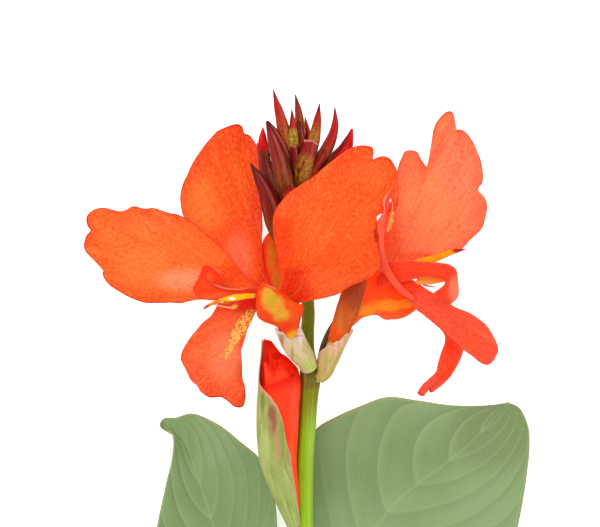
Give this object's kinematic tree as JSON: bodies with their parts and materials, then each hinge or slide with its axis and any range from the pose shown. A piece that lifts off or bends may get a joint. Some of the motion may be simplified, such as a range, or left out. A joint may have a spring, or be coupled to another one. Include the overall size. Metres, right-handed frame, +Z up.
{
  "type": "canna lily flowering shoot",
  "caption": "Cut canna lily shoot lying on its back: orange-red open flowers, a head of maroon buds, a red bud and broad leaves.",
  "frame": {"origin": "middle of the shoot's outer box, on the surface it lies on", "axes": "+Y along the stem from the cut end to the flower buds, +Z up from the surface"},
  "size_m": [0.1618, 0.292, 0.0524],
  "materials": {
    "stem": "satin",
    "leaf": "matt",
    "petal": "satin",
    "true_petal": "satin",
    "style": "satin",
    "bract": "satin",
    "bud": "satin"
  },
  "bodies": {
    "root": {"stem": "stem", "leaf_right": "leaf", "leaf_left": "leaf", "left_tube": "bract", "left_bract": "bract", "left_staminode_front": "petal", "left_staminode_upper": "petal", "left_staminode_side": "petal", "left_lip": "petal", "left_stamen": "petal", "left_style": "style", "left_petal_front": "true_petal", "left_petal_back": "true_petal", "right_tube": "bract", "right_bract_lower": "bract", "right_bract_back": "bract", "right_sepal": "bud", "right_staminode_upper": "petal", "right_petal_upper": "true_petal", "right_petal_lower": "true_petal", "right_lip": "petal", "right_ribbon": "petal", "right_staminode_curled": "petal", "right_stamen": "petal", "red_bud_core": "petal", "red_bud_petal_inner": "petal", "red_bud_petal": "petal", "red_bud_bract": "bract", "bud_cluster": "bud"}
  },
  "joints": []
}
